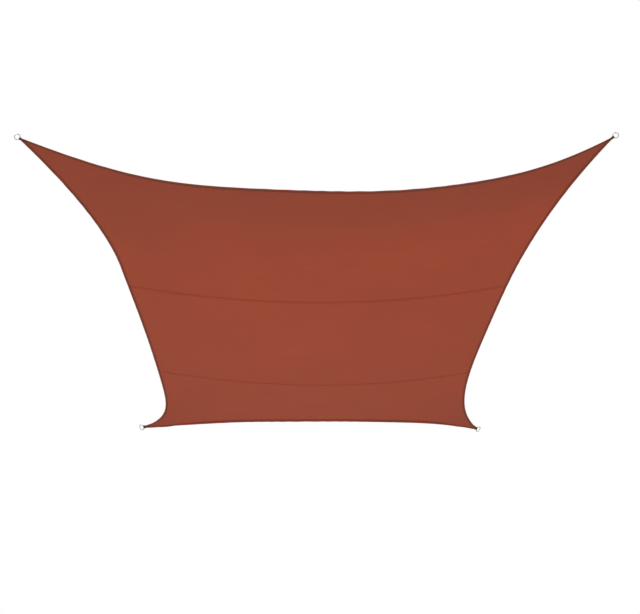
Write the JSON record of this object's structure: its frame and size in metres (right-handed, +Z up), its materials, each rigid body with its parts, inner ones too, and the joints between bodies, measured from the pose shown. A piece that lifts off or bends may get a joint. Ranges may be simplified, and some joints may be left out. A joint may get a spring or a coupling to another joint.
{
  "type": "shade sail",
  "caption": "Rectangular shade sail of knitted cloth with hollow-cut hemmed edges and lapped seams across it, hanging in a shallow curve from a webbing strap and round ring at each corner.",
  "frame": {"origin": "centre of the rectangle of the sail's four corner points, where the lines of its edges meet and its rings have their middles, the front left one 5 mm short of it; it lies above the cloth's middle", "axes": "+X across the sail to its right corners, +Y along it from the front edge to the back edge, +Z up out of the cloth's upper face"},
  "size_m": [3.0476, 4.0379, 0.2607],
  "materials": {
    "sail_cloth": "matt knitted cloth, brick red",
    "strap_webbing": "woven webbing, dark brown",
    "ring_steel": "polished stainless wire"
  },
  "bodies": {
    "root": {"panel_front": "sail_cloth", "panel_middle": "sail_cloth", "panel_back": "sail_cloth", "strap_front_left": "strap_webbing", "strap_front_right": "strap_webbing", "strap_back_left": "strap_webbing", "strap_back_right": "strap_webbing", "ring_front_left": "ring_steel", "ring_front_right": "ring_steel", "ring_back_left": "ring_steel", "ring_back_right": "ring_steel"}
  },
  "joints": []
}
